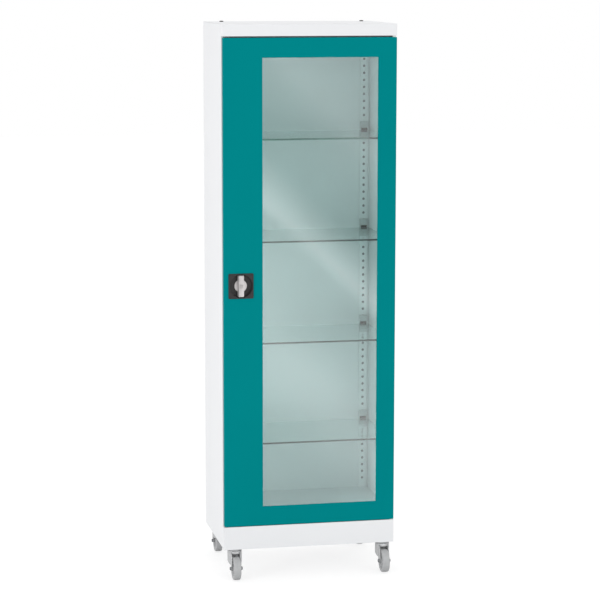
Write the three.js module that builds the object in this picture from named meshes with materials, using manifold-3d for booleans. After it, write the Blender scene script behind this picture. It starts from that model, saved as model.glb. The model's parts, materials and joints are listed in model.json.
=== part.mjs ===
// Glass door medical cabinet on four swivel casters.
// Millimetres, +Z up, +X to the right, the door faces -Y. The origin is on the floor under the body's centre.

import * as THREE from 'three';
import { mergeVertices } from 'three/addons/utils/BufferGeometryUtils.js';
import Module from 'manifold-3d';

const wasm = await Module();
wasm.setup();

// Fits
const fit = 0.3;
const weldDistance = 1e-4;

// Sides of small, medium and large round pieces
const smallSides = 12;
const roundSides = 16;
const largeSides = 32;

// Body, from the plinth's underside to the top
const bodyWidth = 600;
const bodyDepth = 400;
const bodyHeight = 1800;
const sheet = 1.2;
const topRailHeight = 40;
const plinthHeight = 80;
const flangeMargin = 1;
const rearFlangeWidth = 15;
const doorStopHeight = 26;
const floorSkirt = 24;
const plinthLedge = 20;

// Caps in the top
const capRadius = 7;
const capRise = 3.5;
const capChamfer = 1.5;
const capStemRadius = 4;
const capStemLength = 8;
const capInsetX = 50;
const capShiftX = 5;
const capInsetY = 58;

// Uprights and their holes
const uprightWidth = 29;
const uprightDepth = 6;
const uprightSheet = 1.5;
const uprightSideGap = 6.6;
const holeRadius = 4;
const holePitch = 25;
const holeFirst = 35;
const holeEndMargin = 12;
const holeSides = 6;

// Shelves
const shelfCount = 4;
const shelfThickness = 6;
const shelfSideGap = 4;
const shelfEndGap = 2.7;
const shelfCornerRadius = 6;
const shelfFirstRise = 260;
const shelfSpacing = 350;

// Shelf clips
const clipWidth = 30.5;
const clipEdge = 1;
const clipDepth = 6;
const clipSheet = 1.5;
const clipWindowWidth = 23;
const clipWindowHeight = 10;
const clipTongueWidth = 23;
const clipTongueReach = 24;
const clipTongueDrop = 8.9;
const clipStudRadius = 3;
const clipStudReach = 3.5;

// Door
const doorThickness = 20;
const doorBackGap = 4;
const doorTopGap = 5.2;
const doorBottomGap = 2;
const doorLockInset = 2.8;
const doorHingeInset = 0.3;
const doorLip = 12;
const doorStileLock = 136;
const doorStileHinge = 65;
const doorRailTop = 66.5;
const doorRailBottom = 67;

// Glazing
const paneThickness = 4;
const paneOverlap = 15;
const glazingWall = 4;
const glazingLap = 11;
const glazingSheet = 1.5;

// Hinge
const hingeInsetX = 8;
const hingeInsetY = 8;
const hingePinRadius = 3.5;
const hingePinReach = 26;
const hingePinHeadRadius = 6;
const hingePinHeadHeight = 3;
const bushWall = 1.5;
const bushFlangeLip = 1;
const bushLength = 12;

// Lock, in the middle of the door's height
const lockFromWindow = 74.8;
const plateRim = 2;
const platePlanRadius = 4;
const plateProud = 3;
const dishDepth = 12;
const dishFloor = 2;
const cupWall = 1.5;
const hubRadius = 21.5;
const hubThickness = 3;
const wingWidth = 22.5;
const wingLength = 75;
const wingHeight = 14;
const wingChamfer = 2;
const wingClearance = 0.35;
const spindleRadius = 5;
const plugRadius = 6;
const plugDepth = 9;
const plugProud = 0.6;
const keySlotLength = 7;
const keySlotWidth = 1.6;
const keySlotDepth = 4;

// Lock rods and cam
const rodWidth = 12;
const rodThickness = 3;
const rodClearance = 0.5;
const rodEndInset = 1;
const rodTravel = 16;
const camThickness = 3;
const camPinRadius = 3;
const camEdge = 5;
const yokeWall = 4.5;
const guideWall = 5;
const guideHeight = 12;
const guideFromEnd = 120;

// Casters
const casterInsetX = 37;
const casterShiftX = 5.5;
const casterInsetY = 38;
const casterOffset = 32;
const wheelRadius = 40;
const wheelWidth = 25;
const wheelShoulder = 4;
const wheelHubRadius = 12;
const wheelWebRadius = 28;
const wheelDish = 4;
const wheelSides = 20;
const axleRadius = 4;
const axleHeadRadius = 6;
const axleHeadLength = 5;
const forkSheet = 2.5;
const forkSideGap = 2;
const forkTopGap = 8.4;
const forkEyeRadius = 10;
const forkEyeEnd = Math.PI * 2.2;
const forkCrownRadius = 25;
const forkCrownHeight = 10;
const forkSkirtDrop = 27;
const forkLegHalf = 18;
const forkLegReach = 13;
const forkLegBulge = 1;
const forkLegTopDrop = 2;
const forkLegKneeDrop = 22.4;
const headRadius = 22;
const headHeight = 9;
const headNeckRadius = 9;
const headRivetRadius = 12;
const headRivetHeight = 3;

// Levels and planes that follow from the sizes above
const halfWidth = bodyWidth / 2;
const frontY = -bodyDepth / 2;
const backY = bodyDepth / 2;
const crownBottom = 2 * wheelRadius + forkTopGap;
const crownTop = crownBottom + forkCrownHeight;
const baseZ = crownTop + headHeight + 2 * fit;
const topZ = baseZ + bodyHeight;
const plinthTop = baseZ + plinthHeight;
const railBottom = topZ - topRailHeight;
const floorTop = plinthTop + doorStopHeight;
const innerX = halfWidth - sheet;
const flangeY = frontY + doorThickness + doorBackGap;
const flangeBackY = flangeY + sheet;
const frontFlangeWidth = sheet + uprightSideGap + uprightWidth + flangeMargin;
const stopX = halfWidth - frontFlangeWidth - fit;
const backPanelBack = backY - sheet - fit;
const backPanelFront = backPanelBack - sheet;
const underTop = topZ - sheet - fit;

const doorLeft = -halfWidth + doorLockInset;
const doorRight = halfWidth - doorHingeInset;
const doorBottom = plinthTop + doorBottomGap;
const doorTop = railBottom - doorTopGap;
const doorBack = frontY + doorThickness;
const doorSkinBack = frontY + sheet;
const windowLeft = -halfWidth + doorStileLock;
const windowRight = halfWidth - doorStileHinge;
const windowBottom = doorBottom + doorRailBottom;
const windowTop = doorTop - doorRailTop;

const hingeX = halfWidth - hingeInsetX;
const hingeY = frontY + hingeInsetY;
const bushBore = hingePinRadius + fit;
const bushRadius = bushBore + bushWall;
const bushFlangeRadius = bushRadius + bushFlangeLip;

const lockX = windowLeft - lockFromWindow;
const lockZ = (doorBottom + doorTop) / 2;
const lockAxis = [lockX, 0, lockZ];
const plateFace = frontY - plateProud;
const dishY = plateFace + dishDepth;
const cupBack = dishY + dishFloor;
const dishRadius = Math.hypot(wingLength, wingWidth) / 2 + wingClearance;
const cupRadius = dishRadius + cupWall;
const platePlan = 2 * (cupRadius + plateRim);
const rodFront = cupBack + rodClearance + fit;
const rodBack = rodFront + rodThickness;
const camFront = rodBack + rodClearance;
const camBack = camFront + camThickness;
const camRadius = rodTravel + camPinRadius + camEdge;

const uprightX = innerX - uprightSideGap - uprightWidth / 2;
const uprightBottom = floorTop + fit;
const uprightTop = railBottom - doorStopHeight;
const uprightLength = uprightTop - uprightBottom;
const holeCount = Math.floor((uprightLength - holeFirst - holeEndMargin) / holePitch) + 1;
const clipHeight = 2 * (holePitch + clipStudRadius + clipEdge);
const rearFaceY = backPanelFront - fit - uprightDepth;
const frontFaceY = flangeBackY + fit + uprightDepth;
const shelfBack = rearFaceY - fit - clipDepth - shelfEndGap;
const shelfFront = frontFaceY + fit + clipDepth + shelfEndGap;

const cabinet = new THREE.Group();

// Materials

function paint(color, roughness, metalness) {
  return new THREE.MeshStandardMaterial({ color, roughness, metalness });
}

const finishes = {
  white: () => paint(0xebecee, 0.4, 0),
  teal: () => paint(0x018689, 0.35, 0),
  zinc: () => paint(0x9a9fa1, 0.4, 0.9),
  pressed: () => paint(0xc8cacc, 0.4, 0.8),
  steel: () => paint(0x787d82, 0.35, 1),
  satin: () => paint(0xd2d3d4, 0.3, 0.9),
  black: () => paint(0x2c2b2c, 0.45, 0),
  nylon: () => paint(0xf0f0ee, 0.5, 0),
  tyre: () => paint(0xa8aaac, 0.7, 0),
  glass: () => new THREE.MeshStandardMaterial({
    color: 0xb4c6c0, roughness: 0.05, metalness: 0, transparent: true, opacity: 0.35,
  }),
};

// Solids

function signedVolume(points, triangles) {
  const corner = (i) => new THREE.Vector3().fromArray(points, triangles[i] * 3);
  let volume = 0;
  for (let i = 0; i < triangles.length; i += 3) {
    volume += corner(i).dot(corner(i + 1).cross(corner(i + 2))) / 6;
  }
  return volume;
}

// A closed geometry as a solid: shared corners are welded, collapsed triangles dropped and faces turned
// outwards.
function solid(geometry) {
  geometry.deleteAttribute('normal');
  geometry.deleteAttribute('uv');
  const welded = mergeVertices(geometry, weldDistance);
  const points = welded.attributes.position.array;
  const index = welded.index.array;
  const triangles = [];
  for (let i = 0; i < index.length; i += 3) {
    const [a, b, c] = index.slice(i, i + 3);
    if (a !== b && b !== c && c !== a) {
      triangles.push(a, b, c);
    }
  }
  if (signedVolume(points, triangles) < 0) {
    triangles.reverse();
  }
  return new wasm.Manifold(new wasm.Mesh({
    numProp: 3,
    vertProperties: new Float32Array(points),
    triVerts: new Uint32Array(triangles),
  }));
}

function join(...solids) {
  return solids.reduce((whole, piece) => whole.add(piece));
}

// A box between two opposite corners, given axis by axis in any order.
function block([x0, x1], [y0, y1], [z0, z1]) {
  const geometry = new THREE.BoxGeometry(Math.abs(x1 - x0), Math.abs(y1 - y0), Math.abs(z1 - z0));
  geometry.translate((x0 + x1) / 2, (y0 + y1) / 2, (z0 + z1) / 2);
  return solid(geometry);
}

const axisTurns = {
  x: (geometry) => geometry.rotateZ(-Math.PI / 2),
  y: (geometry) => geometry,
  z: (geometry) => geometry.rotateX(Math.PI / 2),
};

// A solid of revolution. The profile is [radius, height] pairs along the axis; a flat side faces down.
function turned(profile, sides, axis, centre = [0, 0, 0]) {
  const points = profile.map(([radius, height]) => new THREE.Vector2(radius, height));
  const geometry = new THREE.LatheGeometry(points, sides, Math.PI / sides);
  axisTurns[axis](geometry).translate(...centre);
  return solid(geometry);
}

function rod(radius, [from, to], sides, axis, centre) {
  return turned([[0, from], [radius, from], [radius, to], [0, to]], sides, axis, centre);
}

function ring(bore, radius, [from, to], sides, axis, centre) {
  return turned([[bore, from], [radius, from], [radius, to], [bore, to], [bore, from]], sides, axis, centre);
}

function roundedRectangle(width, height, radius) {
  const x = width / 2;
  const y = height / 2;
  const shape = new THREE.Shape();
  shape.moveTo(radius - x, -y);
  shape.lineTo(x - radius, -y);
  shape.absarc(x - radius, radius - y, radius, -Math.PI / 2, 0);
  shape.lineTo(x, y - radius);
  shape.absarc(x - radius, y - radius, radius, 0, Math.PI / 2);
  shape.lineTo(radius - x, y);
  shape.absarc(radius - x, y - radius, radius, Math.PI / 2, Math.PI);
  shape.lineTo(-x, radius - y);
  shape.absarc(radius - x, radius - y, radius, Math.PI, Math.PI * 1.5);
  return shape;
}

const cornerSteps = 3;

// A shape drawn in X and Y, made thick upwards from z = 0.
function thicken(shape, depth) {
  return new THREE.ExtrudeGeometry(shape, { depth, bevelEnabled: false, curveSegments: cornerSteps });
}

// A shape drawn in X and Z, made thick backwards from the plane y.
function standing(shape, y, depth) {
  return thicken(shape, depth).rotateX(Math.PI / 2).translate(0, y + depth, 0);
}

function place(name, body, finish, parent = cabinet) {
  const { vertProperties, triVerts } = body.getMesh();
  const geometry = new THREE.BufferGeometry();
  geometry.setAttribute('position', new THREE.BufferAttribute(vertProperties, 3));
  geometry.setIndex(new THREE.BufferAttribute(triVerts, 1));
  geometry.computeVertexNormals();
  const mesh = new THREE.Mesh(geometry, finishes[finish]());
  mesh.name = name;
  parent.add(mesh);
  return mesh;
}

// A group at a place, facing forwards or turned half round.
function station(x, y, z, turnedRound) {
  const group = new THREE.Group();
  group.position.set(x, y, z);
  group.rotation.z = turnedRound ? Math.PI : 0;
  cabinet.add(group);
  return group;
}

const sides = [['left', -1], ['right', 1]];
const across = (half) => [-half, half];

// Carcass

function sidePanel(side) {
  const outer = side * halfWidth;
  const wall = block([outer, side * innerX], [flangeY, backY], [baseZ, underTop]);
  const frontFlange = block(
    [outer, side * (halfWidth - frontFlangeWidth)], [flangeY, flangeBackY], [plinthTop + fit, underTop]);
  const rearFlange = block(
    [outer, side * (halfWidth - rearFlangeWidth)], [backY - sheet, backY], [baseZ, underTop]);
  return join(wall, frontFlange, rearFlange);
}

function backPanel() {
  return block(across(innerX - fit), [backPanelFront, backPanelBack], [baseZ, underTop]);
}

// The rod's way through a sheet at the given level.
function rodSlot(level) {
  const half = rodWidth / 2 + rodClearance;
  return block(
    [lockX - half, lockX + half],
    [rodFront - rodClearance, rodBack + rodClearance],
    [level - sheet, level + 2 * sheet]);
}

function endPlates(bottom, top) {
  return join(...sides.map(([, side]) => block(
    [side * innerX, side * halfWidth], [frontY, flangeY - fit], [bottom, top])));
}

function topPanel() {
  const skin = block(across(halfWidth), [frontY, backY], [topZ - sheet, topZ]);
  const rail = block(across(halfWidth), [frontY, doorSkinBack], [railBottom, topZ]);
  const flange = block(across(halfWidth), [frontY, flangeY - fit], [railBottom, railBottom + sheet]);
  const ledge = block(across(stopX), [frontY, flangeBackY], [railBottom, railBottom + sheet]);
  const doorStop = block(across(stopX), [flangeY, flangeBackY], [uprightTop, railBottom + sheet]);
  const pinHole = rod(
    hingePinRadius + fit, [railBottom - sheet, railBottom + 2 * sheet], roundSides, 'z', [hingeX, hingeY, 0]);
  let panel = join(skin, rail, flange, ledge, doorStop, endPlates(railBottom, topZ));
  panel = panel.subtract(pinHole).subtract(rodSlot(railBottom));
  for (const [, side] of sides) {
    const hole = rod(
      capStemRadius + fit, [topZ - 2 * sheet, topZ + sheet], roundSides, 'z',
      [side * (halfWidth - capInsetX) + capShiftX, backY - capInsetY, 0]);
    panel = panel.subtract(hole);
  }
  return panel;
}

function floorPanel() {
  const deckY = flangeBackY + fit;
  const deckBack = backPanelFront - fit;
  const deckX = innerX - fit;
  const level = [floorTop - sheet, floorTop];
  const deck = block(across(deckX), [deckY, deckBack], level);
  const nose = block(across(stopX), [flangeY, deckY + sheet], level);
  const doorStop = block(across(stopX), [flangeY, flangeBackY], [plinthTop + fit, floorTop]);
  const skirts = sides.map(([, side]) => block(
    [side * (deckX - sheet), side * deckX], [deckY, deckBack], [floorTop - floorSkirt, floorTop]));
  return join(deck, nose, doorStop, ...skirts);
}

// The pan closes the body from below. Its front edge is the plinth, and the lower hinge stud stands on that.
function basePan() {
  const bottom = [baseZ, baseZ + sheet];
  const flangeLevel = [plinthTop - sheet, plinthTop];
  const pan = block(across(innerX - fit), [frontY, backPanelFront - fit], bottom);
  const toe = block(across(halfWidth), [frontY, flangeY - fit], bottom);
  const face = block(across(halfWidth), [frontY, doorSkinBack], [baseZ, plinthTop]);
  const flange = block(across(halfWidth), [frontY, flangeY - fit], flangeLevel);
  const ledge = block(across(stopX), [frontY, flangeBackY + plinthLedge], flangeLevel);
  const stud = rod(
    hingePinRadius, [plinthTop - sheet, plinthTop + hingePinReach], roundSides, 'z', [hingeX, hingeY, 0]);
  return join(pan, toe, face, flange, ledge, endPlates(baseZ, plinthTop), stud)
    .subtract(rodSlot(plinthTop - sheet));
}

function topCap() {
  const bottom = -sheet - capStemLength;
  const crown = capRadius - capChamfer;
  return turned(
    [[0, bottom], [capStemRadius, bottom], [capStemRadius, fit], [capRadius, fit],
      [capRadius, capRise - capChamfer], [crown, capRise], [0, capRise]],
    roundSides, 'z');
}

for (const [sideName, side] of sides) {
  place(`${sideName}_side_panel`, sidePanel(side), 'white');
}
place('back_panel', backPanel(), 'white');
place('top_panel', topPanel(), 'white');
place('floor_panel', floorPanel(), 'white');
place('base_pan', basePan(), 'white');
for (const [sideName, side] of sides) {
  const top = station(side * (halfWidth - capInsetX) + capShiftX, backY - capInsetY, topZ, false);
  place(`${sideName}_top_cap`, topCap(), 'black', top);
}

// Uprights, shelves and their clips. An upright's holed face lies in the plane y = 0 and looks to -Y.

function perforatedUpright() {
  const face = new THREE.Shape();
  const half = uprightWidth / 2;
  face.moveTo(-half, 0);
  face.lineTo(half, 0);
  face.lineTo(half, uprightLength);
  face.lineTo(-half, uprightLength);
  for (let i = 0; i < holeCount; i += 1) {
    const hole = new THREE.Path();
    for (let k = 0; k < holeSides; k += 1) {
      const angle = (2 * Math.PI * k) / holeSides;
      const corner = holeRadius / Math.cos(Math.PI / holeSides);
      const x = corner * Math.cos(angle);
      const z = holeFirst + i * holePitch + corner * Math.sin(angle);
      if (k === 0) {
        hole.moveTo(x, z);
      } else {
        hole.lineTo(x, z);
      }
    }
    face.holes.push(hole);
  }
  const web = solid(standing(face, 0, uprightSheet));
  const legs = sides.map(([, side]) => block(
    [side * (half - uprightSheet), side * half], [0, uprightDepth], [0, uprightLength]));
  return join(web, ...legs);
}

// A clip's z = 0 is the level of the hole behind its window.
function shelfClip() {
  const half = clipWidth / 2;
  const back = -fit;
  const front = back - clipDepth;
  const tall = across(clipHeight / 2);
  const web = block(across(half), [front, front + clipSheet], tall);
  const flanges = sides.map(([, side]) => block(
    [side * (half - clipSheet), side * half], [front, back], tall));
  const window = block(
    across(clipWindowWidth / 2), [front - clipSheet, front + 2 * clipSheet], across(clipWindowHeight / 2));
  const tongue = block(
    across(clipTongueWidth / 2), [front - clipTongueReach, front + clipSheet],
    [-clipTongueDrop - clipSheet, -clipTongueDrop]);
  const studs = [-holePitch, holePitch].map((z) => rod(
    clipStudRadius, [front, clipStudReach], holeSides, 'y', [0, 0, z]));
  return join(web, ...flanges).subtract(window).add(join(tongue, ...studs));
}

function glassShelf() {
  const width = 2 * (innerX - shelfSideGap);
  const depth = shelfBack - shelfFront;
  const shape = roundedRectangle(width, depth, shelfCornerRadius);
  return solid(thicken(shape, shelfThickness).translate(0, (shelfFront + shelfBack) / 2, 0));
}

// A shelf hangs on the hole nearest to its wanted height.
function shelfHole(shelf) {
  const rise = shelfFirstRise + shelf * shelfSpacing;
  return Math.round((rise - holeFirst) / holePitch);
}

function clipLevel(shelf) {
  return uprightBottom + holeFirst + shelfHole(shelf) * holePitch;
}

const ends = [['front', frontFaceY, true], ['rear', rearFaceY, false]];
for (const [endName, faceY, turnedRound] of ends) {
  for (const [sideName, side] of sides) {
    const corner = station(side * uprightX, faceY, 0, turnedRound);
    place(`upright_${endName}_${sideName}`, perforatedUpright(), 'white', corner).position.z = uprightBottom;
    for (let shelf = 0; shelf < shelfCount; shelf += 1) {
      const clip = place(`shelf_${shelf + 1}_clip_${endName}_${sideName}`, shelfClip(), 'zinc', corner);
      clip.position.z = clipLevel(shelf);
    }
  }
}
for (let shelf = 0; shelf < shelfCount; shelf += 1) {
  const mesh = place(`glass_shelf_${shelf + 1}`, glassShelf(), 'glass');
  mesh.position.z = clipLevel(shelf) - clipTongueDrop + fit;
}

// Door

function rodGuide(z) {
  const half = rodWidth / 2 + rodClearance;
  const outer = half + guideWall;
  const level = [z - guideHeight / 2, z + guideHeight / 2];
  const housing = block(
    [lockX - outer, lockX + outer], [frontY + sheet / 2, rodBack + rodClearance + sheet], level);
  const way = block(
    [lockX - half, lockX + half], [rodFront - rodClearance, rodBack + rodClearance],
    [z - guideHeight, z + guideHeight]);
  return housing.subtract(way);
}

function doorLeaf() {
  const inside = (inset) => [doorLeft + inset, doorRight - inset];
  const tall = [doorBottom, doorTop];
  const shell = block(inside(0), [frontY, doorBack], tall);
  const hollow = block(
    inside(sheet), [doorSkinBack, doorBack - sheet], [doorBottom + sheet, doorTop - sheet]);
  const mouth = block(
    inside(doorLip), [doorSkinBack, doorBack + sheet], [doorBottom + doorLip, doorTop - doorLip]);
  const window = block(
    [windowLeft, windowRight], [frontY - sheet, doorSkinBack + sheet], [windowBottom, windowTop]);
  const lockHole = rod(
    cupRadius + fit, [frontY - sheet, doorSkinBack + sheet], largeSides, 'y', lockAxis);
  const bushHole = rod(
    bushRadius + fit, [doorBottom - sheet, doorTop + sheet], roundSides, 'z', [hingeX, hingeY, 0]);
  const guides = join(rodGuide(doorTop - guideFromEnd), rodGuide(doorBottom + guideFromEnd));
  return shell
    .subtract(join(hollow, mouth))
    .add(guides)
    .subtract(window)
    .subtract(lockHole)
    .subtract(bushHole)
    .subtract(rodSlot(doorTop - sheet))
    .subtract(rodSlot(doorBottom));
}

// A rectangular ring that follows the window, between two distances outside its edge.
function windowRing(inner, outer, [y0, y1]) {
  const plate = (grow, depth) => block(
    [windowLeft - grow, windowRight + grow], depth, [windowBottom - grow, windowTop + grow]);
  return plate(outer, [y0, y1]).subtract(plate(inner, [y0 - sheet, y1 + sheet]));
}

const paneFront = doorSkinBack + fit;
const paneBack = paneFront + paneThickness;

function glassPane() {
  return block(
    [windowLeft - paneOverlap, windowRight + paneOverlap], [paneFront, paneBack],
    [windowBottom - paneOverlap, windowTop + paneOverlap]);
}

function glazingFrame() {
  const inner = paneOverlap + fit;
  const outer = inner + glazingWall;
  const coverBack = paneBack + fit + glazingSheet;
  const wall = windowRing(inner, outer, [paneFront, coverBack]);
  const cover = windowRing(inner - glazingLap, outer, [paneBack + fit, coverBack]);
  return wall.add(cover);
}

// A bush sits in the door's end and its flange carries the door. Up is +1 at the door's top.
function hingeBush(up) {
  const seat = fit;
  const tip = -bushLength;
  const flangeTop = (up > 0 ? doorTopGap : doorBottomGap) - fit;
  const profile = [[bushBore, tip], [bushRadius, tip], [bushRadius, seat], [bushFlangeRadius, seat],
    [bushFlangeRadius, flangeTop], [bushBore, flangeTop], [bushBore, tip]];
  return turned(profile.map(([radius, height]) => [radius, up * height]), roundSides, 'z');
}

function hingePin() {
  const headBottom = sheet + fit;
  return turned(
    [[0, -hingePinReach], [hingePinRadius, -hingePinReach], [hingePinRadius, headBottom],
      [hingePinHeadRadius, headBottom], [hingePinHeadRadius, headBottom + hingePinHeadHeight],
      [0, headBottom + hingePinHeadHeight]],
    roundSides, 'z');
}

place('door_leaf', doorLeaf(), 'teal');
place('glass_pane', glassPane(), 'glass');
place('glazing_frame', glazingFrame(), 'white');
place('upper_hinge_bush', hingeBush(1), 'nylon').position.set(hingeX, hingeY, doorTop);
place('lower_hinge_bush', hingeBush(-1), 'nylon').position.set(hingeX, hingeY, doorBottom);
place('upper_hinge_pin', hingePin(), 'steel').position.set(hingeX, hingeY, railBottom);

// Lock

function lockCup() {
  const square = roundedRectangle(platePlan, platePlan, platePlanRadius);
  const plate = solid(standing(square, plateFace, plateProud - fit).translate(...lockAxis));
  const cup = rod(cupRadius, [plateFace + plateProud / 2, cupBack], largeSides, 'y', lockAxis);
  const dish = rod(dishRadius, [plateFace - sheet, dishY], largeSides, 'y', lockAxis);
  const spindleHole = rod(
    spindleRadius + fit, [dishY - sheet, cupBack + sheet], smallSides, 'y', lockAxis);
  return plate.add(cup).subtract(dish).subtract(spindleHole);
}

const hubBack = dishY - fit;
const hubFront = hubBack - hubThickness;
const wingFront = hubFront - wingHeight;
const plugFront = wingFront - plugProud;
const plugBack = plugFront + plugDepth;

function lockHandle() {
  const hub = rod(hubRadius, [hubFront, hubBack], largeSides, 'y', lockAxis);
  const spindle = rod(spindleRadius, [hubFront, camBack], smallSides, 'y', lockAxis);
  const half = wingWidth / 2;
  const sink = hubThickness / 2;
  const section = new THREE.Shape();
  section.moveTo(-half, -sink);
  section.lineTo(half, -sink);
  section.lineTo(half - wingChamfer, wingHeight);
  section.lineTo(wingChamfer - half, wingHeight);
  const wing = thicken(section, wingLength).translate(0, 0, -wingLength / 2);
  wing.rotateX(Math.PI).translate(lockX, hubFront, lockZ);
  const plugHole = rod(plugRadius + fit, [wingFront - sheet, plugBack + fit], roundSides, 'y', lockAxis);
  return join(hub, spindle, solid(wing)).subtract(plugHole);
}

function lockPlug() {
  const barrel = rod(plugRadius, [plugFront, plugBack], roundSides, 'y', lockAxis);
  const keySlot = block(
    [lockX - keySlotWidth / 2, lockX + keySlotWidth / 2], [plugFront - sheet, plugFront + keySlotDepth],
    [lockZ - keySlotLength / 2, lockZ + keySlotLength / 2]);
  return barrel.subtract(keySlot);
}

function lockCam() {
  const disc = rod(camRadius, [camFront, camBack], roundSides, 'y', lockAxis);
  const spindleHole = rod(
    spindleRadius + fit, [camFront - sheet, camBack + sheet], smallSides, 'y', lockAxis);
  const pins = sides.map(([, side]) => rod(
    camPinRadius, [rodFront, camBack], smallSides, 'y', [lockX + side * rodTravel, 0, lockZ]));
  return disc.subtract(spindleHole).add(join(...pins));
}

// The cam pin runs ahead of the evenly driven rod, most where a quarter turn's sine has the mean slope.
const leadAngle = Math.acos(2 / Math.PI);
const pinLead = rodTravel * (Math.sin(leadAngle) - (leadAngle * 2) / Math.PI);

// A rod's foot is a hook round the cam pin, open towards the spindle. Up is +1 for the rod to the top.
function lockRod(up) {
  const depth = [rodFront, rodBack];
  const spindleWay = spindleRadius + rodClearance + fit;
  const slotSide = rodTravel + camPinRadius + rodClearance;
  const slotTop = camPinRadius + pinLead + rodClearance;
  const slotBottom = -camPinRadius - rodClearance;
  const outerX = slotSide + yokeWall;
  const hookTop = slotTop + yokeWall;
  const footBottom = slotBottom - yokeWall;
  const shelfX = spindleWay - 2 * rodClearance;
  const piece = ([x0, x1], [z0, z1]) => block(
    [lockX + up * x0, lockX + up * x1], depth, [lockZ + up * z0, lockZ + up * z1]);
  const crown = piece([-outerX, shelfX], [slotTop, hookTop]);
  const wall = piece([-outerX, -slotSide], [footBottom, hookTop]);
  const foot = piece([-outerX, -spindleWay], [footBottom, slotBottom]);
  const end = (up > 0 ? doorTop - lockZ : lockZ - doorBottom) - rodEndInset;
  const bar = piece(across(rodWidth / 2), [hookTop - rodClearance, end]);
  return join(crown, wall, foot, bar);
}

place('lock_cup', lockCup(), 'black');
place('lock_handle', lockHandle(), 'satin');
place('lock_plug', lockPlug(), 'steel');
place('lock_cam', lockCam(), 'zinc');
place('upper_lock_rod', lockRod(1), 'zinc');
place('lower_lock_rod', lockRod(-1), 'zinc');

// Casters. Each is drawn about its swivel axis with the wheel trailing to -Y.

const legInner = wheelWidth / 2 + forkSideGap;
const legOuter = legInner + forkSheet;
const axleCentre = [0, -casterOffset, wheelRadius];

function casterHead() {
  const headTop = baseZ - fit;
  const rivetTop = crownBottom - fit;
  const rivetBottom = rivetTop - headRivetHeight;
  return turned(
    [[0, rivetBottom], [headRivetRadius, rivetBottom], [headRivetRadius, rivetTop],
      [headNeckRadius, rivetTop], [headNeckRadius, crownTop + fit], [headRadius, crownTop + fit],
      [headRadius, headTop], [0, headTop]],
    roundSides, 'z');
}

// A shape drawn in Y and Z, made thick to the right from the plane x.
function sideways(shape, x, depth) {
  const geometry = thicken(shape, depth).rotateX(Math.PI / 2).rotateZ(Math.PI / 2);
  return solid(geometry.translate(x, 0, 0));
}

// A round crown with a skirt that is open where the wheel trails, and a flat leg inside it on each side that
// reaches out to the axle. One lower edge runs along the skirt and the legs, and slants down to the eye.
function casterFork() {
  const reach = forkCrownRadius + sheet;
  const skirtBottom = crownBottom - forkSkirtDrop;
  const eyeTopY = forkEyeRadius * Math.cos(forkEyeEnd) - casterOffset;
  const eyeTopZ = forkEyeRadius * Math.sin(forkEyeEnd) + wheelRadius;
  const slant = (skirtBottom - eyeTopZ) / -eyeTopY;
  const crown = ring(headNeckRadius + fit, forkCrownRadius, [crownBottom, crownTop], roundSides, 'z');
  const skirtSide = new THREE.Shape();
  skirtSide.moveTo(0, skirtBottom);
  skirtSide.lineTo(reach, skirtBottom);
  skirtSide.lineTo(reach, crownTop);
  skirtSide.lineTo(-reach, crownTop);
  skirtSide.lineTo(-reach, skirtBottom - slant * reach);
  const opening = block(across(legInner), [-reach, 0], [0, crownBottom]);
  const skirt = ring(forkCrownRadius - forkSheet, forkCrownRadius, [0, crownTop], roundSides, 'z')
    .intersect(sideways(skirtSide, -reach, 2 * reach))
    .subtract(opening);
  const legSide = new THREE.Shape();
  legSide.moveTo(0, skirtBottom);
  legSide.lineTo(forkLegHalf, skirtBottom);
  legSide.lineTo(forkLegHalf, crownTop);
  legSide.lineTo(-forkLegHalf, crownTop);
  legSide.lineTo(-forkLegHalf - forkLegReach, crownBottom - forkLegTopDrop);
  legSide.lineTo(-casterOffset - forkEyeRadius + forkLegBulge, crownBottom - forkLegKneeDrop);
  legSide.absarc(-casterOffset, wheelRadius, forkEyeRadius, Math.PI, forkEyeEnd);
  const legs = [-legOuter, legInner].map((x) => sideways(legSide, x, forkSheet));
  const eye = rod(axleRadius + fit, across(legOuter + forkSheet), smallSides, 'x', axleCentre);
  const neckWay = rod(headNeckRadius + fit, [crownBottom - sheet, crownTop + sheet], roundSides, 'z');
  return join(crown, skirt, ...legs).subtract(eye).subtract(neckWay);
}

function casterWheel() {
  const half = wheelWidth / 2;
  const bore = axleRadius + fit;
  const flat = 1 / Math.cos(Math.PI / wheelSides);
  const rim = wheelRadius * flat;
  const shoulder = (wheelRadius - wheelShoulder / 2) * flat;
  const edge = half - wheelShoulder;
  const groove = (wheelHubRadius + wheelWebRadius) / 2;
  const flank = [[bore, half], [wheelHubRadius, half], [groove, half - wheelDish], [wheelWebRadius, half],
    [shoulder, half], [rim, edge]];
  const farFlank = flank.map(([radius, x]) => [radius, -x]).reverse();
  const profile = [...flank, ...farFlank, flank[0]];
  return turned(profile, wheelSides, 'x', axleCentre);
}

function casterAxle() {
  const headFrom = legOuter + fit;
  const headTo = headFrom + axleHeadLength;
  return turned(
    [[0, -headTo], [axleHeadRadius, -headTo], [axleHeadRadius, -headFrom], [axleRadius, -headFrom],
      [axleRadius, headFrom], [axleHeadRadius, headFrom], [axleHeadRadius, headTo], [0, headTo]],
    smallSides, 'x', axleCentre);
}

const casterEnds = [['front', frontY + casterInsetY, false], ['rear', backY - casterInsetY, true]];
for (const [endName, y, turnedRound] of casterEnds) {
  for (const [sideName, side] of sides) {
    const corner = station(side * (halfWidth - casterInsetX) + casterShiftX, y, 0, turnedRound);
    const name = (piece) => `caster_${piece}_${endName}_${sideName}`;
    place(name('head'), casterHead(), 'pressed', corner);
    place(name('fork'), casterFork(), 'pressed', corner);
    place(name('wheel'), casterWheel(), 'tyre', corner);
    place(name('axle'), casterAxle(), 'steel', corner);
  }
}

export default cabinet;
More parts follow.
